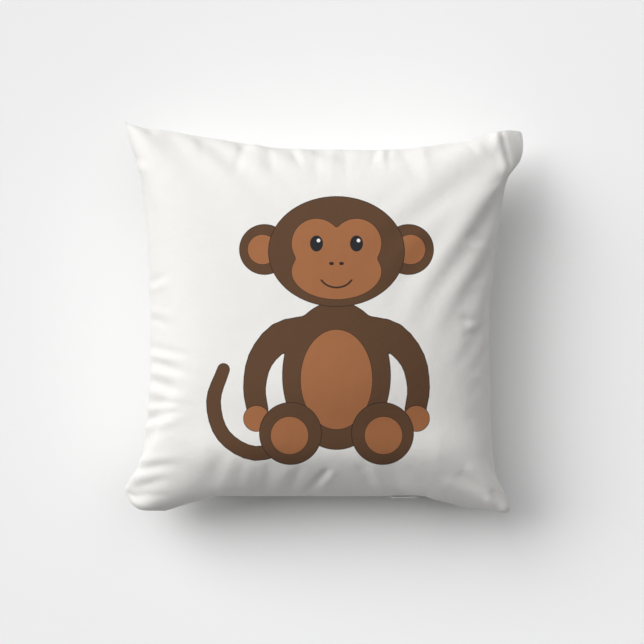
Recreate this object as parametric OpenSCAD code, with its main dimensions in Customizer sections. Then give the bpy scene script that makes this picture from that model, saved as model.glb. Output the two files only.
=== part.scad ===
// Filled square throw cushion, lying on its back: a two-panel cover with a
// concealed zip in the bottom seam, and a loose fibre-filled insert.
// The printed face looks up (+Z), the top of the print is towards +Y.

/* [Cushion] */
// Width over the corners of the filled cushion
cushion_w = 398.6; // [380:0.2:420]
// Height over the corners of the filled cushion
cushion_h = 391; // [375:0.5:410]
// Height of the seam line above the surface it lies on
seam_z = 62; // [55:1:66]
// Rise of the printed face above the seam line
rise_front = 74; // [60:1:80]
// Fall of the back below the seam line, before it flattens
fall_back = 68; // [67:1:75]
// How far the left side draws in between its corners
draw_left = 29; // [20:0.5:34]
// How far the right side draws in between its corners
draw_right = 31; // [20:0.5:34]
// How far the top side draws in between its corners
draw_top = 27.5; // [20:0.5:32]
// How far the bottom side, with the zip, draws in
draw_bottom = 17; // [14:0.5:20]

/* [Cover] */
// Thickness of the cover cloth
cloth_t = 0.6; // [0.4:0.05:0.8]
// Width of the seam allowance turned inside
allowance = 10; // [7:0.5:10.5]
// Gap between the two folded edges over the zip
slit = 1.2; // [1.1:0.05:1.5]

/* [Insert] */
// How far the insert's seam stays inside the cover's seam
insert_back_off = 12; // [11.5:0.5:16]
// Thickness of the insert's casing
casing_t = 0.4; // [0.3:0.05:0.6]
// Width of the insert's seam allowance
insert_allowance = 6; // [4:0.5:8]

/* [Zip] */
// Half the length of the zip tapes
tape_half = 101; // [90:1:103]
// Tooth pitch of the coil
pitch = 1.3; // [1.25:0.05:1.6]
// Distance of the closed slider from the middle of the zip
slider_x = 91; // [70:0.5:91]
// Length of the pull tab from its bar to its tip
pull_len = 21; // [16:0.5:24]

/* [Hidden] */
$fn = 32;

cover_n = 22;                    // cells along each side of a cover panel
insert_n = 18;                   // cells along each side of an insert panel
zip_u = sin(360 / cover_n * 2);  // the bottom side is straight up to this share of its half width
zip_y = -cushion_h / 2 + draw_bottom;
half_x = cushion_w / 2 - 30;     // half width at mid height, for insets
half_y = cushion_h / 2 - 22;
bar_s = -1.35;                   // the pull's bar stands this far outside the seam line

// ---- outline of the filled cushion ----
// 1 along the middle of a side, falling to 0 at its corners
function draw(t, t0, p) = abs(t) <= t0 + 1e-6 ? 1 : 1 - pow((abs(t) - t0) / (1 - t0), p);
function left_x(v) = -cushion_w / 2 + draw_left * draw(v, 0.3, 1.7);
function right_x(v) = cushion_w / 2 - draw_right * draw(v, 0.3, 1.7);
function low_y(u) = -cushion_h / 2 + draw_bottom * draw(u, zip_u, 1.7);
function high_y(u) = cushion_h / 2 - draw_top * draw(u, 0.3, 1.7);
function at_x(u, v) = left_x(v) + (right_x(v) - left_x(v)) * (u + 1) / 2;
function at_y(u, v) = low_y(u) + (high_y(u) - low_y(u)) * (v + 1) / 2;
function bulge(u, v) = sqrt(max(0, (1 - u * u) * (1 - v * v)));
function spread(i, n) = sin(180 * i / n - 90);

// A point of the pillow form, inset inside the outline, h high on the side dir
function form(u, v, inset, h, dir, low) =
    let (ku = 1 - inset / half_x, kv = 1 - inset / half_y)
    [at_x(ku * u, kv * v), at_y(ku * u, kv * v), max(low, seam_z + dir * h * bulge(u, v))];

// ---- grids ----
function grid(n, inset, h, dir, low) =
    [for (j = [0:n]) for (i = [0:n]) form(spread(i, n), spread(j, n), inset, h, dir, low)];
// the (i, j) pairs round the edge of a grid, counter-clockwise from the corner at the lower left
function ring_ij(n) = concat(
    [for (i = [0:n - 1]) [i, 0]], [for (j = [0:n - 1]) [n, j]],
    [for (i = [n:-1:1]) [i, n]], [for (j = [n:-1:1]) [0, j]]);
function in_zip(ij, n, zip) = zip && ij[1] == 0 && abs(spread(ij[0], n)) <= zip_u + 1e-6;
function ring_pt(ij, n, inset, z) =
    let (p = form(spread(ij[0], n), spread(ij[1], n), inset, 0, 1, 0)) [p[0], p[1], z];

function near_edge(i, n) = max(1, min(n - 1, i));
// Height of the cloth's inside at its edge: its thickness, or less towards the corners, where the face rises slowly
function rim_z(ij, n, inset, h, t) =
    let (a = form(spread(ij[0], n), spread(ij[1], n), inset, h, 1, 0),
         b = form(spread(near_edge(ij[0], n), n), spread(near_edge(ij[1], n), n), inset, h, 1, 0))
    min(t, 0.5 * t * (b[2] - a[2]) / norm([b[0] - a[0], b[1] - a[1]]));

function quad(a, b, c, d, flip) = flip ? [[a, c, b], [a, d, c]] : [[a, b, c], [a, c, d]];
function grid_faces(n, o, flip) = [for (j = [0:n - 1]) for (i = [0:n - 1])
    each quad(o + j * (n + 1) + i, o + j * (n + 1) + i + 1, o + (j + 1) * (n + 1) + i + 1, o + (j + 1) * (n + 1) + i, flip)];
function edge_ids(n, o) = [for (ij = ring_ij(n)) o + ij[1] * (n + 1) + ij[0]];
function band_faces(a, b, flip) = [for (k = [0:len(a) - 1])
    let (m = (k + 1) % len(a)) each quad(a[k], a[m], b[m], b[k], flip)];

// One panel of cloth: the bulging face, its inside, and the seam allowance turned in.
// Over the zip the cloth is folded double along its edge instead, and stands off the seam plane.
module panel(dir, n, inset, h, t, turn, low, zip) {
    rij = ring_ij(n);
    count = (n + 1) * (n + 1);
    g = slit / 2;
    outer = [for (j = [0:n]) for (i = [0:n])
        let (p = form(spread(i, n), spread(j, n), inset, h, dir, low))
        in_zip([i, j], n, zip) ? [p[0], p[1], seam_z + dir * g] : p];
    inner = [for (j = [0:n]) for (i = [0:n])
        let (z = in_zip([i, j], n, zip), rim = i == 0 || j == 0 || i == n || j == n,
             p = form(spread(i, n), spread(j, n), inset + (z ? 2 * t : t), h - t, dir, low + t))
        z ? [p[0], p[1], seam_z + dir * (g + t)] : rim ? [p[0], p[1], seam_z + dir * rim_z([i, j], n, inset, h, t)] : p];
    fold_in = [for (ij = rij) in_zip(ij, n, zip)
        ? ring_pt(ij, n, inset + 2 * t, seam_z + dir * (g + t / 2))
        : ring_pt(ij, n, inset + turn, seam_z + dir * t)];
    fold_out = [for (ij = rij) in_zip(ij, n, zip)
        ? ring_pt(ij, n, inset + 2 * t, seam_z + dir * g)
        : ring_pt(ij, n, inset + turn, seam_z)];
    o_edge = edge_ids(n, 0);
    i_edge = edge_ids(n, count);
    f_in = [for (k = [0:len(rij) - 1]) 2 * count + k];
    f_out = [for (k = [0:len(rij) - 1]) 2 * count + len(rij) + k];
    // OpenSCAD wants faces clockwise from outside
    polyhedron(points = concat(outer, inner, fold_in, fold_out), faces = concat(
        grid_faces(n, 0, dir > 0), grid_faces(n, count, dir < 0),
        band_faces(o_edge, f_out, dir < 0), band_faces(f_out, f_in, dir < 0), band_faces(f_in, i_edge, dir < 0)),
        convexity = 6);
}

// A solid of the pillow form: both faces share the edge ring
module filling(n, inset, h_up, h_down, low) {
    count = (n + 1) * (n + 1);
    rij = ring_ij(n);
    up = grid(n, inset, h_up, 1, 0);
    down = grid(n, inset, h_down, -1, low);
    // the lower grid's edge stands 1 mm below the upper one's, so that the edge is a narrow band
    down2 = [for (j = [0:n]) for (i = [0:n]) let (p = down[j * (n + 1) + i])
        (i == 0 || j == 0 || i == n || j == n) ? [p[0], p[1], seam_z - 0.5] : [p[0], p[1], min(p[2], seam_z - 0.6)]];
    up2 = [for (j = [0:n]) for (i = [0:n]) let (p = up[j * (n + 1) + i])
        (i == 0 || j == 0 || i == n || j == n) ? [p[0], p[1], seam_z + 0.5] : [p[0], p[1], max(p[2], seam_z + 0.6)]];
    polyhedron(points = concat(up2, down2), faces = concat(
        grid_faces(n, 0, true), grid_faces(n, count, false),
        band_faces(edge_ids(n, 0), edge_ids(n, count), false)), convexity = 4);
}

// A thin round thread along the points of a path, with 6 sides
module thread(path, r) {
    m = len(path);
    function dir_at(k) = let (a = path[max(0, k - 1)], b = path[min(m - 1, k + 1)], d = b - a) d / norm(d);
    rings = [for (k = [0:m - 1]) let (d = dir_at(k), s = [-d[1], d[0], 0] / norm([d[0], d[1], 0]))
        for (q = [0:5]) path[k] + r * (cos(60 * q) * s + sin(60 * q) * [0, 0, 1])];
    polyhedron(points = rings, faces = concat(
        [for (k = [0:m - 2]) for (q = [0:5]) let (a = k * 6 + q, b = k * 6 + (q + 1) % 6)
            each [[a, b, b + 6], [a, b + 6, a + 6]]],
        [[5, 4, 3, 2, 1, 0]], [[for (q = [0:5]) (m - 1) * 6 + q]]), convexity = 4);
}

// ---- cover ----
module cover_front() { color([0.94, 0.93, 0.91]) panel(1, cover_n, 0, rise_front, cloth_t, allowance, 0, true); }
module cover_back() { color([0.94, 0.93, 0.91]) panel(-1, cover_n, 0, fall_back, cloth_t, allowance, 0, true); }

// The seam's two threads lie on the turned-in allowances, from one end of the zip round to the other
module cover_seam_thread() {
    rij = ring_ij(cover_n);
    first = round(cover_n / 2 + cover_n * 4 / 22) + 2;
    last = len(rij) + cover_n - first;
    color([0.97, 0.97, 0.95]) for (dir = [-1, 1])
        thread([for (k = [first:last]) ring_pt(rij[k % len(rij)], cover_n, 2, seam_z + dir * (cloth_t + 0.22))], 0.17);
}

// ---- zip, drawn in (distance in from the seam line, height above the seam plane) ----
module along(x0, x1) { // extrudes a section drawn in (s, z) from x0 to x1
    translate([x0, zip_y, seam_z]) rotate([90, 0, 90]) linear_extrude(height = x1 - x0) children();
}
module facing(s0, s1) { // extrudes a shape drawn in (x, z) from s0 to s1
    translate([0, zip_y + s1, seam_z]) rotate([90, 0, 0]) linear_extrude(height = s1 - s0) children();
}

tape_w = 6.25;                   // how far each tape reaches up or down from its lower edge
module zip_tape(dir) {
    along(-tape_half, tape_half) polygon([[1.35, dir * 0.75], [1.75, dir * 0.75],
        [2.9, dir * (0.75 + tape_w)], [2.5, dir * (0.75 + tape_w)]]);
}
module zip_tape_front() { color([0.9, 0.9, 0.88]) zip_tape(1); }
module zip_tape_back() { color([0.9, 0.9, 0.88]) zip_tape(-1); }

coil_from = -tape_half + 8;
coil_to = slider_x + 0.9;        // the last closed tooth, just behind the slider's divider
teeth = floor((coil_to - coil_from) / pitch);
// One row: a core cord with a headed tooth at each pitch, each reaching past the middle between two of the other row
module zip_coil(dir, phase) {
    n = teeth - 1;
    tooth = [[-0.23, 1.3], [-0.23, 0.0], [-0.3, -0.12], [-0.3, -0.38], [-0.12, -0.55],
             [0.12, -0.55], [0.3, -0.38], [0.3, -0.12], [0.23, 0.0], [0.23, 1.3]];
    pts = concat([[coil_from, 2.0], [coil_from, 1.3]],
        [for (k = [0:n - 1]) let (c = coil_from + 0.5 + phase + k * pitch) for (p = tooth) [c + p[0], p[1]]],
        [[tape_half - 5, 1.3], [tape_half - 5, 2.0]]);
    facing(2.1, 3.7) polygon([for (p = pts) [p[0], dir * p[1]]]);
}
module zip_coil_front() { color([0.88, 0.88, 0.86]) zip_coil(1, 0); }
module zip_coil_back() { color([0.88, 0.88, 0.86]) zip_coil(-1, pitch / 2); }

module zip_top_stops() {
    color([0.8, 0.8, 0.8]) for (dir = [-1, 1])
        facing(2.05, 3.85) polygon([for (p = [[0, 0.75], [0.3, 0.6], [2.1, 0.6], [2.4, 0.8], [2.4, 2.0], [2.1, 2.2], [0.3, 2.2], [0, 2.0]])
            [tape_half - 4.9 + p[0], dir * p[1]]]);
}
module zip_bottom_stop() {
    color([0.8, 0.8, 0.8]) facing(2.05, 3.85) polygon([for (p = [[0, -1.9], [0.3, -2.2], [2.2, -2.2], [2.5, -1.9], [2.5, 1.9], [2.2, 2.2], [0.3, 2.2], [0, 1.9]])
        [coil_from - 2.6 + p[0], p[1]]]);
}
// Two rows of stitches hold the tapes to the folded edges
module zip_stitching() {
    run = 3.1;
    color([0.97, 0.97, 0.95]) for (dir = [-1, 1]) for (x = [-tape_half + 2:run:tape_half - 4])
        translate([x, zip_y + 2.8, seam_z + dir * 5.2]) rotate([0, 90, 0]) cylinder(h = 2.5, r = 0.15, $fn = 16);
}

// ---- slider ----
// The back plate and its two rails run inside the cover, behind the coil. The divider parts the rows
// and its neck comes out through the slit to the small plate that carries the bail.
module slider_body() {
    color([0.92, 0.92, 0.9]) translate([slider_x, 0, 0]) {
        facing(4.2, 5.0) polygon([[-4.5, -2.6], [-3.9, -3.2], [3.6, -3.2], [4.5, -2.2], [4.5, 2.2], [3.6, 3.2], [-3.9, 3.2], [-4.5, 2.6]]);
        facing(2.3, 4.3) polygon([[-4.2, -3.2], [3.6, -3.2], [3.6, -2.45], [-4.2, -2.45]]);
        facing(2.3, 4.3) polygon([[-4.2, 3.2], [3.6, 3.2], [3.6, 2.45], [-4.2, 2.45]]);
        facing(2.05, 4.3) polygon([[1.3, 0], [2.6, -1.0], [4.1, 0], [2.6, 1.0]]);
        facing(-0.3, 4.3) translate([1.6, -0.4]) square([2.2, 0.8]);
        facing(-0.75, -0.15) polygon([[-3.6, -1.0], [-3.1, -1.5], [3.7, -1.5], [4.2, -1.0], [4.2, 1.0], [3.7, 1.5], [-3.1, 1.5], [-3.6, 1.0]]);
    }
}
// The bail is crimped on the outer plate and keeps the pull's bar under it
module slider_bail() {
    color([0.92, 0.92, 0.9]) translate([slider_x, zip_y, seam_z - 0.65]) linear_extrude(height = 1.3)
        polygon([[-3.2, -0.75], [-2.2, -0.75], [-2.2, -1.75], [-2.0, -1.95], [2.0, -1.95], [2.2, -1.75], [2.2, -0.75],
                 [3.2, -0.75], [3.2, -1.95], [2.6, -2.5], [-2.6, -2.5], [-3.2, -1.95]]);
}
// A drop-shaped pull: a round bar, an eye that the bail passes through, and a flat drop
pull_end = 3.0;
function drop_w(t) = t < 4.6 ? 2.1 : t < 7 ? 2.1 - 0.8 * sin(90 * (t - 4.6) / 2.4)
    : 1.3 + (pull_end - 1.3) * (1 - cos(180 * min(1, (t - 7) / (pull_len - pull_end - 7)))) / 2;
module pull_tab() {
    xs = concat([0, 4.6], [for (k = [1:12]) 4.6 + (pull_len - pull_end - 4.6) * k / 12]);
    tip = [for (a = [80:-10:-80]) [pull_len - pull_end + pull_end * cos(a), pull_end * sin(a)]];
    rim = concat([for (t = xs) [t, drop_w(t)]], tip, [for (k = [len(xs) - 1:-1:0]) [xs[k], -drop_w(xs[k])]]);
    color([0.92, 0.92, 0.9]) translate([slider_x, 0, 0]) {
        difference() {
            facing(bar_s - 0.35, bar_s + 0.35) polygon([for (p = rim) [-p[0], p[1]]]);
            facing(bar_s - 1, bar_s + 1) polygon([[0.6, -1.05], [-4.2, -1.05], [-4.2, 1.05], [0.6, 1.05]]);
        }
        translate([0, zip_y + bar_s, seam_z - 2.1]) cylinder(h = 4.2, r = 0.4, $fn = 32);
    }
}

// ---- insert ----
module insert_front() { color([0.96, 0.96, 0.96]) panel(1, insert_n, insert_back_off, rise_front - cloth_t - 1, casing_t, insert_allowance, 0, false); }
module insert_back() { color([0.96, 0.96, 0.96]) panel(-1, insert_n, insert_back_off, fall_back - cloth_t - 1, casing_t, insert_allowance, cloth_t + 0.5, false); }
module insert_seam_thread() {
    rij = ring_ij(insert_n);
    color([0.97, 0.97, 0.97])
        thread([for (k = [1:len(rij) - 1]) ring_pt(rij[k], insert_n, insert_back_off + 1.8, seam_z + casing_t + 0.2)], 0.15);
}
module insert_filling() {
    color([0.98, 0.98, 0.98]) filling(insert_n, insert_back_off + insert_allowance + 1.5,
        rise_front - cloth_t - 1 - casing_t - 0.6, fall_back - cloth_t - 1 - casing_t - 0.6, cloth_t + 0.5 + casing_t + 0.5);
}

cover_front();
cover_back();
cover_seam_thread();
zip_tape_front();
zip_tape_back();
zip_coil_front();
zip_coil_back();
zip_top_stops();
zip_bottom_stop();
zip_stitching();
slider_body();
slider_bail();
pull_tab();
insert_front();
insert_back();
insert_seam_thread();
insert_filling();
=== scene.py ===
# A filled throw cushion lying flat, seen from straight above. The two cover panels are cut flat, sewn along a
# gathered seam and inflated by a cloth solver written out below; the print is drawn by procedural nodes.
import bpy
import math
import numpy as np
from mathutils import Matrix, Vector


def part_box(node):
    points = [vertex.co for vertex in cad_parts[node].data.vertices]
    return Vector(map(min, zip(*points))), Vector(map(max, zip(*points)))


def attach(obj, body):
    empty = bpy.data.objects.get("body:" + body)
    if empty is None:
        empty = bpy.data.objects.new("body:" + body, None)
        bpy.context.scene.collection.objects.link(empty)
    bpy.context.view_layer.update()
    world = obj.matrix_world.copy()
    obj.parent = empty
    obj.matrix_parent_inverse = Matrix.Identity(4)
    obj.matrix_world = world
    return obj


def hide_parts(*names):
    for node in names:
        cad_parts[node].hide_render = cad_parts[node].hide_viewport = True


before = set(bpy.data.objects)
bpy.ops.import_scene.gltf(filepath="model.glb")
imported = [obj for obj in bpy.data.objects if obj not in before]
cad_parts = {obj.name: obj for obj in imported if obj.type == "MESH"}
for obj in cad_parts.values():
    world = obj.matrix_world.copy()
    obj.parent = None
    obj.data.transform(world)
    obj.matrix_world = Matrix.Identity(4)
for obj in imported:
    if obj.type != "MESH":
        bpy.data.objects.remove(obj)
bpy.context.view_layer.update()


# ------------------------------------------------------------------ places, from the frame (mm)
def mm_box(node):
    lo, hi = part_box(node)
    return np.array(lo) * 1000, np.array(hi) * 1000


COVER_LO, COVER_HI = mm_box("cover_front")
SEAM = float(COVER_LO[2])                              # height of the seam plane
ZIP_Y = float(mm_box("slider_body")[0][1]) + 0.75      # the slider's outer plate stands 0.75 mm outside the seam
ZIP_END = float(mm_box("zip_tape_front")[1][0]) + 2.0  # half the length of the opening
CUT = 406.0                                            # each panel's side between its seams, flat
ALLOW = 10.0                                           # seam allowance
CLOTH_T = 0.6

# ------------------------------------------------------------------ outline of the sewn seam seen from above (mm)
TL, TR, BR, BL = (-196.5, 195.5), (201.0, 186.0), (197.0, -201.0), (-203.0, -205.0)
TOP = [TL, (-190, 193.3), (-176, 189), (-162, 188.2), (-148, 186), (-130, 182.5), (-104, 178.5), (-74.5, 173.5),
       (-45, 169.5), (-15, 168.3), (20, 167.8), (55, 167.5), (94, 169.5), (121, 173.5), (143.5, 175.5),
       (159.5, 180.5), (176.5, 186.0), (187, 188.0), (196, 188.0), TR]
RIGHT = [TR, (203.0, 180.0), (203.0, 168.0), (199.0, 156.5), (188.5, 143.0), (184.2, 133), (182, 122), (179.5, 107.5), (176.5, 85.5),
         (173.5, 63.5), (171.5, 41.5), (168.5, 19.5), (167.8, -10), (167.8, -45), (168.3, -85.5), (169.5, -115.5),
         (171.5, -137.5), (174, -154.5), (178.5, -167), (184.5, -177), BR]
BOTTOM = [BR, (182, -195.5), (165.5, -192.0), (143.5, -190.0), (125, -184.5), (112, -180.2), (103, -178.5), (70, -178.5),
          (40, -178.5), (0, -178.5), (-40, -178.5), (-70, -178.5), (-103, -178.5), (-114, -180.5), (-133, -186.0),
          (-151.5, -192.0), (-165, -196), BL]
LEFT = [BL, (-203, -188), (-200.5, -176), (-192.5, -164.5), (-185.5, -156), (-181.5, -147), (-178.5, -135), (-176, -112.5),
        (-172.5, -88.5), (-170, -71.5), (-169, -41.5), (-169.5, -2.5), (-170.3, 26.5), (-171.5, 70.5),
        (-174.5, 100.5), (-179, 129.5), (-184.5, 154.5), (-191.5, 174), TL]


def smooth_path(pts, n):
    """n + 1 points evenly spaced along a smooth curve through pts, and its length."""
    p = np.array(pts, float)
    ext = np.vstack([2 * p[0] - p[1], p, 2 * p[-1] - p[-2]])
    out = []
    for k in range(len(p) - 1):
        a, b, c, d = ext[k:k + 4]
        t = np.linspace(0, 1, 24, endpoint=False)[:, None]
        m1, m2 = (c - a) * 0.5, (d - b) * 0.5
        out.append((2 * t**3 - 3 * t**2 + 1) * b + (t**3 - 2 * t**2 + t) * m1
                   + (-2 * t**3 + 3 * t**2) * c + (t**3 - t**2) * m2)
    out = np.vstack(out + [p[-1:]])
    s = np.concatenate([[0], np.cumsum(np.linalg.norm(np.diff(out, axis=0), axis=1))])
    q = np.linspace(0, s[-1], n + 1)
    return np.stack([np.interp(q, s, out[:, 0]), np.interp(q, s, out[:, 1])], 1)


def seam_targets(n):
    """The seam's place on the border of an (n+1) x (n+1) grid: row 0 is the bottom side, column 0 the left."""
    t = np.zeros((n + 1, n + 1, 2))
    t[n, :] = smooth_path(TOP, n)
    t[:, n] = smooth_path(RIGHT, n)[::-1]
    t[0, :] = smooth_path(BOTTOM, n)[::-1]
    t[:, 0] = smooth_path(LEFT, n)
    return t


def filled_in(t):
    """The grid's inside, blended from its border."""
    n = len(t) - 1
    u = np.linspace(0, 1, n + 1)[None, :, None]
    v = np.linspace(0, 1, n + 1)[:, None, None]
    lo, hi, le, ri = t[0][None], t[n][None], t[:, 0][:, None], t[:, n][:, None]
    return ((1 - v) * lo + v * hi + (1 - u) * le + u * ri
            - ((1 - u) * (1 - v) * t[0, 0] + u * (1 - v) * t[0, n] + (1 - u) * v * t[n, 0] + u * v * t[n, n]))


# ------------------------------------------------------------------ the cloth solver
# P[0] is the front panel, P[1] the back; both are grids of a flat 406 mm square, sewn along their borders.
def finer(P):
    def mid(A):
        m = 0.5 * (A[:, :-1] + A[:, 1:])
        m[:, 1:-1] = (9 * (A[:, 1:-2] + A[:, 2:-1]) - A[:, :-3] - A[:, 3:]) / 16
        return m
    n = P.shape[1]
    R = np.zeros((2, 2 * n - 1, n, 3))
    R[:, ::2], R[:, 1::2] = P, mid(P)
    Rt = R.transpose(0, 2, 1, 3)
    Q = np.zeros((2, 2 * n - 1, 2 * n - 1, 3))
    Q[:, ::2], Q[:, 1::2] = Rt, mid(Rt)
    return Q.transpose(0, 2, 1, 3).copy()


def face_forces(P):
    c = 0.5 * np.cross(P[:, 1:, 1:] - P[:, :-1, :-1], P[:, 1:, :-1] - P[:, :-1, 1:])
    c[1] *= -1
    q, nv = c / 4, np.zeros_like(P)
    nv[:, 1:, 1:] += q
    nv[:, :-1, :-1] += q
    nv[:, 1:, :-1] += q
    nv[:, :-1, 1:] += q
    cen = 0.25 * (P[:, 1:, 1:] + P[:, :-1, :-1] + P[:, 1:, :-1] + P[:, :-1, 1:])
    return nv, (cen * c).sum() / 3


def sew(P):
    for s in ((0, slice(None)), (-1, slice(None)), (slice(None), 0), (slice(None), -1)):
        m = 0.5 * (P[0][s] + P[1][s])
        P[0][s] = m
        P[1][s] = m


def pull(A, B, rest, stretch, press):
    d = B - A
    ln = np.sqrt((d * d).sum(-1, keepdims=True)) + 1e-9
    e = (ln - rest) / ln
    d *= 0.5 * np.where(e > 0, stretch * e, press * e)
    A += d
    B -= d


def relax(P, tgt, rounds, volume, bend, buckle):
    n = P.shape[1] - 1
    h = CUT / n
    dg = h * math.sqrt(2)
    for _ in range(rounds):
        nv, vol = face_forces(P)
        lam = (volume - vol) / ((nv * nv).sum() + 1e-9)
        w = 1 + 0.35 * (SEAM - P[..., 2:3]) / 70 - 0.5 * P[..., 1:2] / 170      # the filling's weight; more of it lies at the bottom side
        P += np.clip(nv * lam * 0.5 * w, -4, 4)
        np.maximum(P[..., 2], 0.35, out=P[..., 2])    # the surface it lies on
        for s in (0, 1):
            pull(P[:, :, s:-1:2], P[:, :, s + 1::2], h, 1.0, buckle)
            pull(P[:, s:-1:2], P[:, s + 1::2], h, 1.0, buckle)
        for s in (0, 1):
            pull(P[:, s:-1:2, :-1], P[:, s + 1::2, 1:], dg, 0.35, 0.2)
            pull(P[:, s:-1:2, 1:], P[:, s + 1::2, :-1], dg, 0.35, 0.2)
        for s in range(4):
            A, B = P[:, :, s:-2:4], P[:, :, s + 2::4]
            m = min(A.shape[2], B.shape[2])
            pull(A[:, :, :m], B[:, :, :m], 2 * h, 0, bend)
            A, B = P[:, s:-2:4], P[:, s + 2::4]
            m = min(A.shape[1], B.shape[1])
            pull(A[:, :m], B[:, :m], 2 * h, 0, bend)
        sew(P)
        for q in (0, 1):
            for e, T in ((P[q, 0], tgt[0]), (P[q, n], tgt[n]), (P[q, :, 0], tgt[:, 0]), (P[q, :, n], tgt[:, n])):
                e[:, :2] += 0.35 * (T - e[:, :2])
                e[:, 2] += 0.1 * (SEAM - e[:, 2])
    return P


def inflate(volume, levels):
    n = levels[0][0]
    tgt = seam_targets(n)
    u = np.linspace(-1, 1, n + 1)
    b = np.sqrt(np.clip((1 - u[None] ** 2) * (1 - u[:, None] ** 2), 0, 1))
    P = np.zeros((2, n + 1, n + 1, 3))
    P[..., :2] = filled_in(tgt)
    P[0, ..., 2] = SEAM + 60 * b
    P[1, ..., 2] = SEAM - 50 * b
    rng = np.random.default_rng(11)
    for k, (n, rounds, bend, buckle) in enumerate(levels):
        if k:
            P = finer(P)
            P[..., 2] += rng.normal(0, 0.25, P.shape[:-1])
            sew(P)
            tgt = seam_targets(n)
        P = relax(P, tgt, rounds, volume, bend, buckle)
    return P


LEVELS = [(40, 500, 0.05, 0.6), (80, 500, 0.12, 0.6), (160, 400, 0.3, 0.6)]
P = inflate(12.25e6, LEVELS)
N = P.shape[1] - 1

# the seam is straight over the zip
def over_zip(x):
    return np.clip((ZIP_END + 6 - np.abs(x)) / 6, 0, 1)


CELL = CUT / N
# the filling inside rounds off the solver's smallest wrinkles
for _ in range(int(12 * (N / 160) ** 2)):
    P[:, 1:-1, 1:-1] += 0.5 * (0.25 * (P[:, :-2, 1:-1] + P[:, 2:, 1:-1] + P[:, 1:-1, :-2] + P[:, 1:-1, 2:]) - P[:, 1:-1, 1:-1])
for q, up in ((0, 1), (1, -1)):
    near = np.clip(1 - (P[q, ..., 1] - ZIP_Y) / 25, 0, 1) * over_zip(P[q, ..., 0])
    near[N // 3:] = 0
    P[q, ..., 1] += near * (ZIP_Y - P[q, 0, :, 1])[None, :]
    P[q, 0, :, 2] += over_zip(P[q, 0, :, 0]) * (SEAM - P[q, 0, :, 2])
    # the cloth lies flat against the stiff tapes, and goes back to its own curve above them
    w = over_zip(P[q, 0, :, 0])
    last = int(7.8 / CELL)
    for j in range(1, last + 1):
        dz = 0.75 + (j * CELL - 0.6) * 0.98
        s_in = 0.5 + 0.19 * (dz - 0.75)
        off_y, off_z = ZIP_Y + s_in - P[q, j, :, 1], SEAM + up * dz - P[q, j, :, 2]
        P[q, j, :, 1] += w * off_y
        P[q, j, :, 2] += w * off_z
    reach = int(34 / CELL)
    for j in range(last + 1, last + reach):
        t = 1 - (j - last) / reach
        t = t * t * (3 - 2 * t)
        P[q, j, :, 1] += w * t * off_y
        P[q, j, :, 2] += w * t * off_z


# ------------------------------------------------------------------ corners, folds and creases
def bend_corner(p, start, n, radius, over, limit):
    """Rolls what lies beyond the line through start, across n, downwards about an axis below it."""
    n = np.array(n, float) / math.hypot(*n)
    s = (p[..., 0] - start[0]) * n[0] + (p[..., 1] - start[1]) * n[1]
    near = ((p[..., 0] - start[0]) ** 2 + (p[..., 1] - start[1]) ** 2) < 70 ** 2
    m = (s > 0) & near
    dz = p[..., 2] - (SEAM - radius)
    a = s / (radius + over)
    past = np.maximum(a - limit, 0) * (radius + over)
    a = np.minimum(a, limit)
    out = dz * np.sin(a) + past * np.cos(a)
    z = SEAM - radius + dz * np.cos(a) - past * np.sin(a)
    r = p.copy()
    r[..., 0] = np.where(m, p[..., 0] + (out - s) * n[0], p[..., 0])
    r[..., 1] = np.where(m, p[..., 1] + (out - s) * n[1], p[..., 1])
    r[..., 2] = np.where(m, z, p[..., 2])
    return r


def fold_flap(p):
    """The upper right corner is folded down along a sharp line."""
    a, n = np.array((177.0, 186.0)), np.array((0.976, 0.216))
    s = (p[..., 0] - a[0]) * n[0] + (p[..., 1] - a[1]) * n[1]
    near = np.clip((p[..., 1] - 128) / 22, 0, 1) * (p[..., 0] > 120)
    r = p.copy()
    r[..., 2] -= near * (0.55 * np.maximum(s, 0) + 2.8 * np.exp(-((s - 2.5) / 2.4) ** 2) - 1.4 * np.exp(-((s + 4) / 4.0) ** 2))
    return r


def shape_corners(p):
    p = fold_flap(p)
    p = bend_corner(p, (-177.0, -178.5), (-0.575, -0.82), 11, 9, 2.0)
    p = bend_corner(p, (180.5, -184.5), (0.6, -0.8), 6, 4, 2.0)
    return p


CAM_X, CAM_Y, CAM_D = 0.5, -4.5, 1789.0


def print_xy(p):
    """Where a point of the face stands in the print, which is laid out as it is seen from straight above."""
    k = CAM_D / (CAM_D + SEAM - p[..., 2])
    return np.stack([CAM_X + (p[..., 0] - CAM_X) * k, CAM_Y + (p[..., 1] - CAM_Y) * k], -1)


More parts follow.
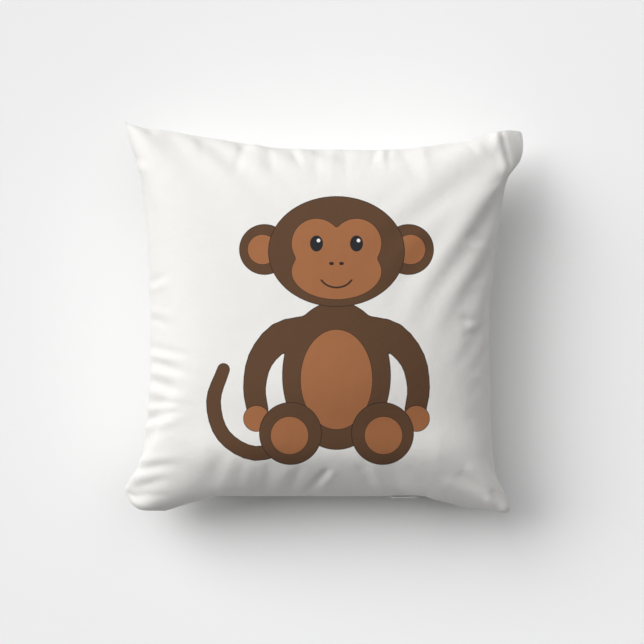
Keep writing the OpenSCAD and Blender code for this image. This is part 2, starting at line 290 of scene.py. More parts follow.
# Creases of the face, in mm as seen from above: from, to, half width, height (negative is a valley).
CREASES = [
    # gathers under the top seam
    (-78, 171, -86, 148, 5.0, -2.2), (-66, 170, -60, 146, 7.0, 1.8), (-52, 167, -48, 148, 4.0, -1.3),
    (-30, 168, -21, 151, 3.2, -1.6), (-22, 168, -14, 152, 3.2, 1.0), (-5, 166, -4, 135, 4.0, -0.9),
    (10, 166, 10, 128, 4.0, 0.8), (24, 166, 25, 132, 4.0, -0.8), (54, 166, 50, 152, 3.6, -1.9),
    (61, 165, 63, 148, 3.2, 1.3), (68, 166, 66, 156, 2.8, -1.6), (82, 165, 96, 140, 6.5, -1.4),
    (101, 168, 108, 138, 5.5, 1.4), (148, 172, 156, 163, 3.0, -1.2), (158, 171, 165, 163, 3.0, 1.0),
    (-172, 189, -166, 184, 4.0, -2.0), (-192, 160, -178, 156, 4.0, -1.5), (-186, 150, -168, 146, 5.0, 1.2),
    (-120, 178, -118, 160, 5.0, -1.0),
    # beside the folded corner
    (176, 182, 171, 166, 5.0, 2.2), (186, 141, 168, 132, 5.0, -1.6), (182, 150, 160, 152, 7.0, 1.2),
    # right side
    (150, 82, 169, 73, 4.5, -1.3), (146, 72, 166, 68, 4.0, 1.0), (144, -1, 160, -7, 4.5, -2.2),
    (150, -8, 165, -3, 4.0, 1.6), (146, -18, 162, -15, 4.0, -1.2), (152, 30, 167, 34, 5.0, 0.8),
    (150, -60, 167, -66, 5.0, 0.8), (150, -100, 168, -108, 6.0, -0.8),
    # left side, where the cloth is drawn towards the seam
    (-168, 36, -155, 44, 3.6, -1.3), (-168, 28, -150, 36, 3.6, 1.1), (-168, -2, -152, -8, 3.6, -1.2),
    (-168, 6, -150, 2, 4.0, 1.0), (-168, -30, -130, -38, 3.8, -1.5), (-168, -38, -140, -44, 3.6, 1.7),
    (-165, -46, -132, -56, 3.8, -1.8), (-168, -55, -140, -62, 3.6, 1.6), (-168, -64, -140, -73, 4.0, -2.0),
    (-170, -74, -142, -82, 3.8, 1.6), (-171, -84, -128, -88, 3.6, -1.3), (-171, -92, -140, -90, 3.6, 1.6),
    (-172, -102, -140, -92, 4.2, -2.4), (-174, -110, -140, -101, 4.5, 1.7), (-176, -122, -145, -108, 4.5, -1.0),
    # lower left corner
    (-180, -143, -138, -138, 5.0, 1.6), (-183, -152, -146, -146, 4.5, -1.8), (-186, -160, -150, -154, 4.5, 1.6),
    (-193, -172, -158, -163, 4.0, -1.6), (-193, -178, -182, -181, 3.6, -3.6), (-186, -184, -160, -190, 4.5, 1.4),
    (-180, -178, -150, -178, 4.0, -1.4),
    # bottom
    (4, -152, -14, -174, 4.0, -3.4), (10, -154, 0, -170, 4.5, 1.4), (-22, -150, -30, -172, 4.5, -1.5),
    (-36, -150, -44, -172, 5.0, 1.1), (-52, -148, -56, -172, 5.0, -1.3), (-72, -150, -78, -174, 6.0, 0.9),
    (40, -150, 50, -170, 5.0, -1.2), (52, -148, 62, -172, 5.0, 1.0), (70, -146, 82, -174, 6.0, -0.9),
    (-100, -140, -120, -176, 8.0, -1.2), (-88, -142, -100, -176, 7.0, 1.0),
    # lower right corner
    (140, -158, 172, -180, 5.0, -1.9), (150, -150, 176, -176, 4.5, 1.5), (128, -166, 168, -187, 5.0, 1.2),
    (160, -140, 176, -166, 4.0, -1.0), (172, -176, 180, -190, 3.0, -2.0), (166, -182, 176, -192, 3.0, 1.2),
]


def creased(G, creases, seed, up):
    """Moves the grid along its own normals by the creases, and by a little random slackness beside the seam."""
    du = np.gradient(G, axis=1)
    dv = np.gradient(G, axis=0)
    nrm = np.cross(du, dv)
    nrm /= np.linalg.norm(nrm, axis=-1, keepdims=True) + 1e-9
    nrm *= up
    xy = print_xy(G)
    h = np.zeros(G.shape[:2])
    for x0, y0, x1, y1, w, d in creases:
        a, b = np.array((x0, y0), float), np.array((x1 - x0, y1 - y0), float)
        t = ((xy - a) @ b) / (b @ b)
        near = np.clip(t, 0, 1)
        dist = np.linalg.norm(xy - a - near[..., None] * b, axis=-1)
        # the second end fades out slowly
        fade = 1 - np.clip((near - 0.35) / 0.65, 0, 1) ** 1.5 * 0.75
        h += d * fade * np.exp(-(dist / w) ** 2)
    n = len(G) - 1
    i = np.arange(n + 1)
    edge = np.minimum(np.minimum(i[None], n - i[None]), np.minimum(i[:, None], n - i[:, None])) * CUT / n
    rng = np.random.default_rng(seed)
    # gathers that run in from the seam: a sum of waves along each side
    along = [np.zeros(n + 1) for _ in range(4)]
    for k in range(4):
        for _ in range(9):
            along[k] += rng.uniform(0.3, 1) * np.sin(i / n * CUT / rng.uniform(3.2, 11) + rng.uniform(0, 6.28))
        along[k] /= 3.2
    fade = np.exp(-edge / 13) * np.clip(edge / 4, 0, 1)
    sides = [(i[:, None], along[0][None, :]), (n - i[:, None], along[1][None, :]), (i[None], along[2][:, None]), (n - i[None], along[3][:, None])]
    g = np.zeros_like(h)
    for dist, wave in sides:
        dist = dist * CUT / n
        g += wave * np.exp(-dist / 14) * np.clip(dist / 5, 0, 1)
    h = 0.74 * h * np.clip(edge / 4, 0, 1) + 0.26 * g
    if up < 0:
        return G + nrm * (h * (1 - over_zip(G[..., 0]) * (G[..., 1] < 0) * np.clip(1 - (edge - 8) / 8, 0, 1)))[..., None]
    h *= 1 - over_zip(G[..., 0]) * (G[..., 1] < 0) * np.clip(1 - (edge - 8) / 8, 0, 1)
    # the filling stands fuller along the bottom side
    h = h + 8 * np.exp(-((xy[..., 0] - 20) / 95) ** 2 - ((xy[..., 1] + 75) / 55) ** 2)
    h = h + 5.5 * np.exp(-((xy[..., 1] + 134) / 24) ** 2) * np.clip((165 - np.abs(xy[..., 0])) / 50, 0, 1) * np.clip((edge - 6) / 12, 0, 1)
    return G + nrm * h[..., None]


# ------------------------------------------------------------------ meshes
def ring_ids(n):
    r = [(0, i) for i in range(n)] + [(j, n) for j in range(n)]
    r += [(n, i) for i in range(n, 0, -1)] + [(j, 0) for j in range(n, 0, -1)]
    return r


def add_mesh(name, verts, faces, uvs=None, smooth=True, sharp=None):
    me = bpy.data.meshes.new(name)
    me.from_pydata((np.asarray(verts) / 1000).tolist(), [], faces)
    me.update()
    if uvs:
        loops = np.zeros(len(me.loops), np.int32)
        me.loops.foreach_get("vertex_index", loops)
        for key, uv in uvs.items():
            layer = me.uv_layers.new(name=key)
            layer.data.foreach_set("uv", uv[loops].astype(np.float32).ravel())
    me.polygons.foreach_set("use_smooth", [smooth] * len(me.polygons))
    if sharp is not None:
        att = me.attributes.get("sharp_edge") or me.attributes.new("sharp_edge", "BOOLEAN", "EDGE")
        e = np.zeros(len(me.edges) * 2, np.int32)
        me.edges.foreach_get("vertices", e)
        e = e.reshape(-1, 2)
        flag = np.isin(e[:, 0], sharp) & np.isin(e[:, 1], sharp)
        att.data.foreach_set("value", flag)
    ob = bpy.data.objects.new(name, me)
    bpy.context.scene.collection.objects.link(ob)
    return ob


def thicken(ob, t, inner_mat=0):
    m = ob.modifiers.new("cloth", "SOLIDIFY")
    m.thickness, m.offset = t / 1000, -1
    m.use_even_offset = False
    m.use_rim = True
    m.material_offset = m.material_offset_rim = inner_mat
    dg = bpy.context.evaluated_depsgraph_get()
    me = bpy.data.meshes.new_from_object(ob.evaluated_get(dg))
    ob.modifiers.clear()
    old = ob.data
    ob.data = me
    bpy.data.meshes.remove(old)
    return ob


def panel(name, G, up, allow, gap, zip_gap=0.0, shape=None):
    """One panel of cloth with its seam allowance turned in. G is its grid, and up is 1 for the front, -1 for the back."""
    n = len(G) - 1
    rid = ring_ids(n)
    border = np.array([G[r] for r in rid])
    z = over_zip(border[:, 0]) * (np.array([r[0] for r in rid]) == 0) if zip_gap else np.zeros(len(rid))
    half = np.abs(border[:, :2]).max(0)
    G = G.copy()
    lift = gap + z * (zip_gap - gap)
    for k, r in enumerate(rid):
        G[r][2] += up * lift[k]
    r1, r2 = border.copy(), border.copy()
    d1 = allow * 0.5 * (1 - z) + 0.45 * z
    d2 = allow * (1 - z) + 0.65 * z
    for r, d in ((r1, d1), (r2, d2)):
        r[:, 0] *= 1 - d * (1 - z) / half[0]
        r[:, 1] *= 1 - d * (1 - z) / half[1]
        r[:, 1] += d * z
    r1[:, 2] = border[:, 2] + up * lift
    r2[:, 2] = border[:, 2] + up * (lift + 0.25 * z)
    r1[:, 2] += (1 - z) * up * 0.02
    verts = np.vstack([G.reshape(-1, 3), r1, r2])
    flat = np.stack(np.meshgrid(np.linspace(0, 1, n + 1), np.linspace(0, 1, n + 1)), -1).reshape(-1, 2)
    fr = np.array([flat[r[0] * (n + 1) + r[1]] for r in rid])
    out = (fr - 0.5) * 2
    grow = np.where(np.abs(out) >= 1 - 1e-9, np.sign(out), 0)
    cloth = np.vstack([flat, fr + grow * allow * 0.5 / CUT, fr + grow * allow / CUT])
    pr = print_xy(verts) / 500 + 0.5
    if shape is not None:
        verts = shape(verts)
    count, m = (n + 1) ** 2, len(rid)
    faces = []
    for j in range(n):
        for i in range(n):
            a = j * (n + 1) + i
            f = (a, a + 1, a + n + 2, a + n + 1)
            faces.append(f if up > 0 else f[::-1])
    bi = [r[0] * (n + 1) + r[1] for r in rid]
    for k in range(m):
        l = (k + 1) % m
        for x, y in ((lambda q: bi[q], lambda q: count + q), (lambda q: count + q, lambda q: count + m + q)):
            f = (x(k), y(k), y(l), x(l))
            faces.append(f if up > 0 else f[::-1])
    ob = add_mesh(name, verts, faces, {"cloth": cloth, "print": pr}, sharp=np.array(bi))
    return ob


# ------------------------------------------------------------------ node helpers
class Nodes:
    def __init__(self, tree):
        self.t = tree

    def new(self, kind, **props):
        nd = self.t.nodes.new(kind)
        for k, v in props.items():
            setattr(nd, k, v)
        return nd

    def put(self, sock, v):
        if isinstance(v, bpy.types.NodeSocket):
            self.t.links.new(v, sock)
        elif v is not None:
            if sock.type == "VECTOR":
                v = tuple(v)[:3]
            sock.default_value = v

    def math(self, op, a, b=None, c=None, clamp=False):
        nd = self.new("ShaderNodeMath", operation=op)
        for s, v in zip(nd.inputs, (a, b, c)):
            self.put(s, v)
        if clamp:      # a Clamp node of its own, since a Math node's own clamp is worked out last and fills the shader's memory
            cl = self.new("ShaderNodeClamp")
            self.put(cl.inputs[0], nd.outputs[0])
            return cl.outputs[0]
        return nd.outputs[0]

    def vec(self, op, a, b=None, scale=None):
        nd = self.new("ShaderNodeVectorMath", operation=op)
        self.put(nd.inputs[0], a)
        if b is not None:
            self.put(nd.inputs[1], b)
        if scale is not None:
            self.put(nd.inputs[3], scale)
        return nd.outputs["Value"] if op in ("LENGTH", "DOT_PRODUCT", "DISTANCE") else nd.outputs["Vector"]

    def mix(self, f, a, b, kind="RGBA", blend="MIX"):
        nd = self.new("ShaderNodeMix", data_type=kind)
        if kind == "RGBA":
            nd.blend_type = blend
            self.put(nd.inputs["Factor"], f)
            i = [s for s in nd.inputs if s.type == "RGBA"]
            o = [s for s in nd.outputs if s.type == "RGBA"][0]
        else:
            self.put(nd.inputs["Factor"], f)
            i = [s for s in nd.inputs if s.type == "VALUE"][1:]
            o = [s for s in nd.outputs if s.type == "VALUE"][0]
        self.put(i[0], a)
        self.put(i[1], b)
        return o

    # signed distances, in mm, negative inside
    def ellipse(self, p, cx, cy, rx, ry, tilt=0.0):
        q = self.vec("SUBTRACT", p, (cx, cy, 0))
        if tilt:
            nd = self.new("ShaderNodeVectorRotate", rotation_type="Z_AXIS")
            self.put(nd.inputs["Vector"], q)
            nd.inputs["Angle"].default_value = -math.radians(tilt)
            q = nd.outputs[0]
        a = self.vec("MULTIPLY", q, (1 / rx, 1 / ry, 0))
        k1 = self.vec("LENGTH", a)
        k2 = self.vec("LENGTH", self.vec("MULTIPLY", a, (1 / rx, 1 / ry, 0)))
        k2 = self.math("MAXIMUM", k2, 1e-5)
        return self.math("DIVIDE", self.math("MULTIPLY", k1, self.math("SUBTRACT", k1, 1.0)), k2)

    def limb(self, p, a, b):
        (ax, ay, ra), (bx, by, rb) = a, b
        dx, dy = bx - ax, by - ay
        l2 = dx * dx + dy * dy
        pa = self.vec("SUBTRACT", p, (ax, ay, 0))
        h = self.math("MULTIPLY", self.vec("DOT_PRODUCT", pa, (dx / l2, dy / l2, 0)), 1.0, clamp=True)
        foot = self.vec("SCALE", (dx, dy, 0), scale=h)
        d = self.vec("LENGTH", self.vec("SUBTRACT", pa, foot))
        return self.math("SUBTRACT", d, self.math("MULTIPLY_ADD", h, rb - ra, ra))

    def path(self, p, pts):
        d = None
        for a, b in zip(pts[:-1], pts[1:]):
            e = self.limb(p, a, b)
            d = e if d is None else self.math("MINIMUM", d, e)
        return d

    def union(self, *ds, soft=0.0):
        d = ds[0]
        for e in ds[1:]:
            d = self.math("SMOOTH_MIN", d, e, soft) if soft else self.math("MINIMUM", d, e)
        return d

    def paint(self, col, d, fill, line=None, w=0.75, aa=0.45):
        m = self.math("MULTIPLY_ADD", d, -1 / aa, 0.5, clamp=True)
        col = self.mix(m, col, fill)
        if line:
            a = self.math("ABSOLUTE", d)
            m = self.math("MULTIPLY_ADD", a, -1 / aa, 0.5 + w / 2 / aa, clamp=True)
            col = self.mix(m, col, line)
        return col


def spline_pts(pts, per):
    """Points (x, y, half width) along a smooth curve through pts."""
    p = np.array(pts, float)
    ext = np.vstack([2 * p[0] - p[1], p, 2 * p[-1] - p[-2]])
    out = []
    for k in range(len(p) - 1):
        a, b, c, d = ext[k:k + 4]
        for t in np.linspace(0, 1, per, endpoint=False):
            out.append(0.5 * ((2 * b) + (c - a) * t + (2 * a - 5 * b + 4 * c - d) * t * t + (3 * b - a - 3 * c + d) * t**3))
    return [tuple(float(x) for x in q) for q in out] + [tuple(float(x) for x in p[-1])]


# ------------------------------------------------------------------ the print: a plain sitting monkey, the same on both sides
WHITE = (0.765, 0.755, 0.732, 1)
FUR = (0.100, 0.0475, 0.0215, 1)
SKIN = (0.335, 0.130, 0.050, 1)
LINE = (0.030, 0.014, 0.009, 1)
INK = (0.014, 0.014, 0.017, 1)
GLINT = (0.80, 0.80, 0.80, 1)

MID = 15.0                                             # the print's middle line
TAIL = [(-25, -124, 7), (-66, -136, 7), (-98, -118, 7), (-108, -84, 7), (-98, -52, 6)]
ARM = [(28, -16, 18), (56, -20, 15), (76, -42, 12.5), (82, -70, 11), (79, -92, 10.5)]


def draw_print(g, p, white):
    E, col = g.ellipse, white
    both = (-1, 1)
    # tail, behind everything
    col = g.paint(col, g.path(p, spline_pts(TAIL, 4)), FUR, LINE)
    # body and arms are one shape
    body = E(p, MID, -58, 54, 74)
    for s in both:
        body = g.math("SMOOTH_MIN", body, g.path(p, [(MID + s * x, y, w) for x, y, w in spline_pts(ARM, 3)]), 3.0)
    col = g.paint(col, body, FUR, LINE)
    col = g.paint(col, E(p, MID, -62, 36, 50), SKIN, LINE, w=0.5)
    for s in both:
        # hand, then the leg with its sole towards the front
        col = g.paint(col, E(p, MID + s * 80, -101, 13, 13), SKIN, LINE, w=0.6)
        col = g.paint(col, E(p, MID + s * 46, -116, 31, 31), FUR, LINE)
        col = g.paint(col, E(p, MID + s * 47, -118, 19, 19), SKIN, LINE, w=0.5)
        col = g.paint(col, E(p, MID + s * 72, 68, 25, 25), FUR, LINE)
        col = g.paint(col, E(p, MID + s * 74, 68, 15, 15), SKIN, LINE, w=0.5)
    # head and face
    col = g.paint(col, E(p, MID, 66, 68, 55), FUR, LINE)
    face = g.union(E(p, MID - 20, 74, 25, 25), E(p, MID + 20, 74, 25, 25), E(p, MID, 46, 45, 28), soft=6.0)
    col = g.paint(col, face, SKIN, LINE, w=0.5)
    for s in both:
        col = g.paint(col, E(p, MID + s * 20, 74, 6.5, 8), INK)
        col = g.paint(col, E(p, MID + s * 20 + 2, 77, 1.8, 1.8), GLINT)
        col = g.paint(col, E(p, MID + s * 5, 54, 2.4, 1.7), LINE)
    ring = g.math("ABSOLUTE", E(p, MID, 44, 17, 14))
    cut = g.vec("DOT_PRODUCT", g.vec("SUBTRACT", p, (MID, 38, 0)), (0, 1, 0))
    col = g.paint(col, g.math("MAXIMUM", g.math("SUBTRACT", ring, 0.9), cut), LINE, aa=0.7)
    return col


# ------------------------------------------------------------------ materials
def material(name):
    m = bpy.data.materials.new(name)
    m.use_nodes = True
    m.node_tree.nodes.clear()
    g = Nodes(m.node_tree)
    out = g.new("ShaderNodeOutputMaterial")
    bs = g.new("ShaderNodeBsdfPrincipled")
    g.t.links.new(bs.outputs[0], out.inputs[0])
    return m, g, bs


def weave(g, uv, size, pitch):
    """Height of a plain weave: uv runs 0 to 1 over size mm."""
    k = math.pi * size / pitch
    sep = g.new("ShaderNodeSeparateXYZ")
    g.put(sep.inputs[0], g.vec("SCALE", uv, scale=k))
    sx, sy = g.math("SINE", sep.outputs[0]), g.math("SINE", sep.outputs[1])
    over = g.math("MULTIPLY", g.math("SIGN", g.math("MULTIPLY", sx, sy)), 1.0)
    a, b = g.math("ABSOLUTE", sx), g.math("ABSOLUTE", sy)
    return g.mix(g.math("MULTIPLY_ADD", over, 0.5, 0.5), a, b, kind="FLOAT")


def cloth_material(name, base, printed=False, pitch=0.7, depth=0.00006):
    m, g, bs = material(name)
    uvn = g.new("ShaderNodeUVMap", uv_map="cloth")
    uv = uvn.outputs[0]
    pos = g.vec("SCALE", uv, scale=CUT)
    fine = g.new("ShaderNodeTexNoise")
    g.put(fine.inputs["Vector"], pos)
    fine.inputs["Scale"].default_value = 0.9
    fine.inputs["Detail"].default_value = 3
    mottle = g.new("ShaderNodeTexNoise")
    g.put(mottle.inputs["Vector"], pos)
    mottle.inputs["Scale"].default_value = 0.035
    mottle.inputs["Detail"].default_value = 2
    k = g.math("MULTIPLY_ADD", fine.outputs["Fac"], 0.05, 0.972)
    k = g.math("MULTIPLY", k, g.math("MULTIPLY_ADD", mottle.outputs["Fac"], 0.03, 0.985))
    col = base
    if printed:
        pn = g.new("ShaderNodeUVMap", uv_map="print")
        p = g.vec("SCALE", g.vec("SUBTRACT", pn.outputs[0], (0.5, 0.5, 0)), scale=500.0)
        # the ink spreads a little along the threads
        n2 = g.new("ShaderNodeTexNoise")
        g.put(n2.inputs["Vector"], pos)
        n2.inputs["Scale"].default_value = 1.3
        wob = g.vec("SCALE", g.vec("SUBTRACT", n2.outputs["Color"], (0.5, 0.5, 0.5)), scale=0.35)
        p = g.vec("MULTIPLY", g.vec("ADD", p, wob), (1, 1, 0))
        col = draw_print(g, p, base)
    w = weave(g, uv, CUT, pitch)
    k = g.math("MULTIPLY", k, g.math("MULTIPLY_ADD", w, 0.06, 0.955))
    g.put(bs.inputs["Base Color"], g.vec("SCALE", col, scale=k))
    bs.inputs["Roughness"].default_value = 0.82
    bs.inputs["Specular IOR Level"].default_value = 0.3
    bs.inputs["Sheen Weight"].default_value = 0.06
    bs.inputs["Sheen Roughness"].default_value = 0.45
    soft = g.new("ShaderNodeTexNoise")
    g.put(soft.inputs["Vector"], pos)
    soft.inputs["Scale"].default_value = 0.06
    soft.inputs["Detail"].default_value = 3
    soft.inputs["Roughness"].default_value = 0.55
    b1 = g.new("ShaderNodeBump")
    b1.inputs["Strength"].default_value = 0.5
    b1.inputs["Distance"].default_value = 0.0012
    g.put(b1.inputs["Height"], soft.outputs["Fac"])
    b2 = g.new("ShaderNodeBump")
    b2.inputs["Strength"].default_value = 0.6
    b2.inputs["Distance"].default_value = depth
    g.put(b2.inputs["Height"], w)
    g.put(b2.inputs["Normal"], b1.outputs[0])
    g.put(bs.inputs["Normal"], b2.outputs[0])
    return m


def simple_material(name, base, rough, metal=0.0, scale=900.0, amount=0.1, bump=0.00002, sheen=0.0, coat=0.0, weave_bump=False):
    """A finish with fine variation from noise in the object's own space."""
    m, g, bs = material(name)
    tc = g.new("ShaderNodeTexCoord")
    n = g.new("ShaderNodeTexNoise")
    g.put(n.inputs["Vector"], tc.outputs["Object"])
    n.inputs["Scale"].default_value = scale
    n.inputs["Detail"].default_value = 4
    k = g.math("MULTIPLY_ADD", n.outputs["Fac"], amount, 1 - amount / 2)
    g.put(bs.inputs["Base Color"], g.vec("SCALE", base[:3], scale=k))
    g.put(bs.inputs["Roughness"], g.math("MULTIPLY_ADD", n.outputs["Fac"], 0.2, rough - 0.1))
    bs.inputs["Metallic"].default_value = metal
    if sheen:
        bs.inputs["Sheen Weight"].default_value = sheen
    if coat:
        bs.inputs["Coat Weight"].default_value = coat
        bs.inputs["Coat Roughness"].default_value = 0.15
    h = n.outputs["Fac"]
    if weave_bump:
        wv = g.new("ShaderNodeTexWave", wave_type="BANDS", bands_direction="X")
        g.put(wv.inputs["Vector"], tc.outputs["Object"])
        wv.inputs["Scale"].default_value = 420
        wv.inputs["Distortion"].default_value = 0.4
        h = g.math("ADD", h, wv.outputs["Fac"])
    b = g.new("ShaderNodeBump")
    b.inputs["Strength"].default_value = 0.6
    b.inputs["Distance"].default_value = bump
    g.put(b.inputs["Height"], h)
    g.put(bs.inputs["Normal"], b.outputs[0])
    return m


MAT_FRONT = cloth_material("printed_cloth", WHITE, printed=True)
MAT_BACK = cloth_material("plain_cloth", WHITE)
MAT_CASING = cloth_material("casing_cloth", (0.84, 0.84, 0.83, 1), pitch=1.1)
MAT_FIBRE = simple_material("polyester_fibre", (0.86, 0.86, 0.85), 0.9, scale=140, amount=0.2, bump=0.003, sheen=0.3)
MAT_THREAD = simple_material("sewing_thread", (0.82, 0.81, 0.79), 0.6, scale=2500, amount=0.2, bump=0.00005, sheen=0.3)
MAT_TAPE = simple_material("zip_tape", (0.80, 0.79, 0.77), 0.8, scale=1500, amount=0.12, bump=0.0001, sheen=0.2, weave_bump=True)
MAT_COIL = simple_material("zip_coil", (0.80, 0.80, 0.78), 0.35, scale=600, amount=0.05, coat=0.2)
MAT_METAL = simple_material("zip_metal", (0.62, 0.62, 0.62), 0.35, metal=1.0, scale=1200, amount=0.15)
MAT_ENAMEL = simple_material("slider_enamel", (0.82, 0.81, 0.79), 0.32, scale=500, amount=0.05, coat=0.4)

# ------------------------------------------------------------------ cover
SHAPE = shape_corners
BACK_CREASES = [(x0, y0, x1, y1, w, d * 0.8) for x0, y0, x1, y1, w, d in
                [(-x0, y0, -x1, y1, w, d) for x0, y0, x1, y1, w, d in CREASES[:19] + CREASES[22:48]]]
FRONT, BACK = creased(P[0], CREASES, 5, 1), creased(P[1], BACK_CREASES, 6, -1)
BACK[..., 2] = np.maximum(BACK[..., 2], 0.3)
front = panel("cover_front_cloth", FRONT, 1, ALLOW, 0.04, zip_gap=0.6, shape=SHAPE)
front.data.materials.append(MAT_FRONT)
front.data.materials.append(MAT_BACK)
thicken(front, CLOTH_T, 1)
back = panel("cover_back_cloth", BACK, -1, ALLOW, 0.04, zip_gap=0.6, shape=SHAPE)
back.data.materials.append(MAT_BACK)
thicken(back, CLOTH_T)
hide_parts("cover_front")
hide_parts("cover_back")


# ------------------------------------------------------------------ threads
def tube(name, path, r, sides=6):
    path = np.asarray(path, float)
    t = np.gradient(path, axis=0)
    t /= np.linalg.norm(t, axis=1, keepdims=True)
    side = np.cross(t, (0, 0, 1.0))
    side /= np.linalg.norm(side, axis=1, keepdims=True)
    up = np.cross(side, t)
    verts = np.concatenate([path[:, None] + r * (math.cos(2 * math.pi * q / sides) * side + math.sin(2 * math.pi * q / sides) * up)[:, None]
                            for q in range(sides)], 1).reshape(-1, 3)
    m = len(path)
    faces = [(k * sides + q, k * sides + (q + 1) % sides, (k + 1) * sides + (q + 1) % sides, (k + 1) * sides + q)
             for k in range(m - 1) for q in range(sides)]
    faces += [tuple(range(sides))[::-1], tuple((m - 1) * sides + q for q in range(sides))]
    return verts, faces


def join_mesh(name, parts):
    verts, faces, o = [], [], 0
    for v, f in parts:
        verts.append(v)
        faces += [tuple(i + o for i in q) for q in f]
        o += len(v)
    return add_mesh(name, np.vstack(verts), faces)


def inset_ring(G, d):
    rid = ring_ids(len(G) - 1)
    b = np.array([G[r] for r in rid])
    half = np.abs(b[:, :2]).max(0)
    b[:, 0] *= 1 - d / half[0]
    b[:, 1] *= 1 - d / half[1]
    return b


def resample(path, step):
    s = np.concatenate([[0], np.cumsum(np.linalg.norm(np.diff(path, axis=0), axis=1))])
    q = np.linspace(0, s[-1], int(s[-1] / step) + 1)
    return np.stack([np.interp(q, s, path[:, k]) for k in range(3)], 1), q


def seam_thread(name, G, d, lifts, r, open_zip):
    parts = []
    b = inset_ring(G, d)
    if open_zip:
        n = len(G) - 1
        free = ~((np.abs(b[:, 0]) < ZIP_END + 8) & (np.arange(len(b)) < n))
        first = int(np.argmax(free[n // 2:])) + n // 2
        b = np.roll(b, -first, axis=0)
        b = b[np.roll(free, -first)]
    for lift in lifts:
        path, q = resample(b, 0.8)
        path = path.copy()
        path[:, 2] += lift + 0.06 * np.sin(q * math.pi / 2.6)      # each stitch dips through both layers
        parts.append(tube(name, SHAPE(path), r))
    return join_mesh(name, parts)


thread = seam_thread("cover_seam_stitches", P[0], 0.9, (0.0,), 0.15, True)
thread.data.materials.append(MAT_THREAD)
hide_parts("cover_seam_thread")


# ------------------------------------------------------------------ insert
def sample(G, u, v):
    n = len(G) - 1
    x, y = np.clip((u + 1) / 2 * n, 0, n - 1e-6), np.clip((v + 1) / 2 * n, 0, n - 1e-6)
    i, j = x.astype(int), y.astype(int)
    fx, fy = (x - i)[..., None], (y - j)[..., None]
    return ((1 - fy) * ((1 - fx) * G[j, i] + fx * G[j, i + 1]) + fy * ((1 - fx) * G[j + 1, i] + fx * G[j + 1, i + 1]))


M = 90
SQUEEZE = 0.955        # the insert stands clear of the cover's seams and of the zip
uu = np.sin(np.linspace(-math.pi / 2, math.pi / 2, M + 1)) * 0.35 + np.linspace(-1, 1, M + 1) * 0.65
U, V = np.meshgrid(uu, uu)


def insert_grids(inset, shrink):
    k = 1 - inset / (CUT / 2)
    A, B = sample(P[0], U * k, V * k), sample(P[1], U * k, V * k)
    mid, half = 0.5 * (A + B), 0.5 * (A - B)
    close = np.sqrt(np.clip((1 - np.abs(U) ** 14) * (1 - np.abs(V) ** 14), 0, 1))[..., None]
    ln = np.linalg.norm(half, axis=-1, keepdims=True) + 1e-9
    half = half * np.clip(1 - shrink / ln, 0.0, 1) * close
    mid[..., :2] *= SQUEEZE
    half[..., :2] *= SQUEEZE
    return mid + half, mid - half


IF, IB = insert_grids(17.0, 4.5)
cas_f = panel("insert_front_cloth", IF, 1, 6.0, 0.04, shape=SHAPE)
cas_f.data.materials.append(MAT_CASING)
thicken(cas_f, 0.35)
cas_b = panel("insert_back_cloth", IB, -1, 6.0, 0.04, shape=SHAPE)
cas_b.data.materials.append(MAT_CASING)
thicken(cas_b, 0.35)
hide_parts("insert_front")
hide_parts("insert_back")
ithread = seam_thread("insert_seam_stitches", IF, 0.9, (0.0,), 0.12, False)
ithread.data.materials.append(MAT_THREAD)
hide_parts("insert_seam_thread")

FF, FB = insert_grids(34.0, 9.5)
rid = ring_ids(M)
for r in rid:
    FF[r][2] += 0.5
    FB[r][2] -= 0.5
fv = SHAPE(np.vstack([FF.reshape(-1, 3), FB.reshape(-1, 3)]))
cnt = (M + 1) ** 2
ff = []
for j in range(M):
    for i in range(M):
        a = j * (M + 1) + i
        ff.append((a, a + 1, a + M + 2, a + M + 1))
        ff.append((cnt + a + M + 1, cnt + a + M + 2, cnt + a + 1, cnt + a))
for k in range(len(rid)):
    a, b = rid[k], rid[(k + 1) % len(rid)]
    a, b = a[0] * (M + 1) + a[1], b[0] * (M + 1) + b[1]
    ff.append((a, cnt + a, cnt + b, b))
fibre = add_mesh("insert_fibre", fv, ff)
fibre.data.materials.append(MAT_FIBRE)
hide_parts("insert_filling")

# ------------------------------------------------------------------ carried-over CAD nodes
FINISH = {"zip_tape_front": MAT_TAPE, "zip_tape_back": MAT_TAPE, "zip_coil_front": MAT_COIL, "zip_coil_back": MAT_COIL,
          "zip_top_stops": MAT_METAL, "zip_bottom_stop": MAT_METAL, "zip_stitching": MAT_THREAD,
          "slider_body": MAT_ENAMEL, "slider_bail": MAT_ENAMEL, "pull_tab": MAT_ENAMEL}
for node, mat in FINISH.items():
    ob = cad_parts[node]
    if not ob.material_slots:
        ob.data.materials.append(mat)
    for s in ob.material_slots:
        s.material = mat

# ------------------------------------------------------------------ the cloth, thread and filling pieces ride on the pillow body
for ob, slot in ((front, "printed_cloth"), (back, "plain_cloth"), (thread, "sewing_thread"), (cas_f, "casing"),
                 (cas_b, "casing"), (ithread, "sewing_thread"), (fibre, "fibre")):
    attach(ob, "pillow")

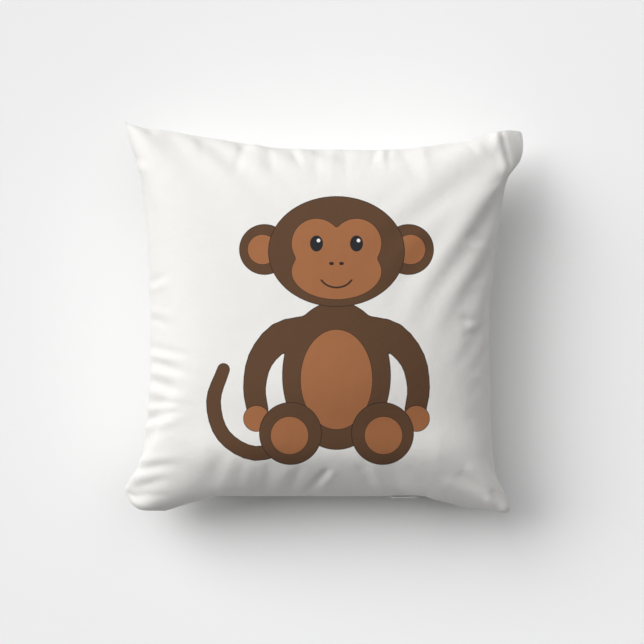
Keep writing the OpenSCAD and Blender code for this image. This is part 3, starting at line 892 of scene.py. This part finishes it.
# ------------------------------------------------------------------ stage, light, camera
bpy.ops.mesh.primitive_plane_add(size=12, location=(0, 0, 0))
floor = bpy.context.object
floor.name = "floor"
mf, g, bs = material("floor_paper")
tc = g.new("ShaderNodeTexCoord")
nz = g.new("ShaderNodeTexNoise")
g.put(nz.inputs["Vector"], tc.outputs["Object"])
nz.inputs["Scale"].default_value = 3
k = g.math("MULTIPLY_ADD", nz.outputs["Fac"], 0.004, 0.998)
g.put(bs.inputs["Base Color"], g.vec("SCALE", (0.85, 0.85, 0.85), scale=k))
bs.inputs["Roughness"].default_value = 0.9
bs.inputs["Specular IOR Level"].default_value = 0.1
floor.data.materials.append(mf)

world = bpy.data.worlds.new("studio")
bpy.context.scene.world = world
world.use_nodes = True
world.node_tree.nodes["Background"].inputs[0].default_value = (1.0, 1.0, 1.0, 1)
world.node_tree.nodes["Background"].inputs[1].default_value = 0.05

# soft boxes: a key from the upper left, one further round to the left, and a weaker one from the upper right
from mathutils import Vector
for name, azimuth, elevation, spread, power in (("key", 135, 47, 46, 1.66), ("left", 153, 35, 46, 1.70),
                                                ("top", 50, 64, 56, 0.76), ("fill", 300, 64, 50, 0.10)):
    sun = bpy.data.lights.new(name, "SUN")
    sun.energy = power
    sun.angle = math.radians(spread)
    so = bpy.data.objects.new(name, sun)
    bpy.context.scene.collection.objects.link(so)
    e, z = math.radians(elevation), math.radians(azimuth)
    d = Vector((math.cos(e) * math.cos(z), math.cos(e) * math.sin(z), math.sin(e)))
    so.rotation_euler = (-d).to_track_quat("-Z", "Y").to_euler()

cam = bpy.data.cameras.new("camera")
cam.lens, cam.sensor_width = 100, 36
cam.clip_start, cam.clip_end = 0.05, 30
co = bpy.data.objects.new("camera", cam)
co.location = (CAM_X / 1000, CAM_Y / 1000, (SEAM + CAM_D) / 1000)
bpy.context.scene.collection.objects.link(co)
bpy.context.scene.camera = co
bpy.context.scene.view_settings.view_transform = "Standard"
bpy.context.scene.view_settings.look = "None"
bpy.context.scene.view_settings.exposure = 0
bpy.context.scene.view_settings.gamma = 1

bpy.context.view_layer.update()
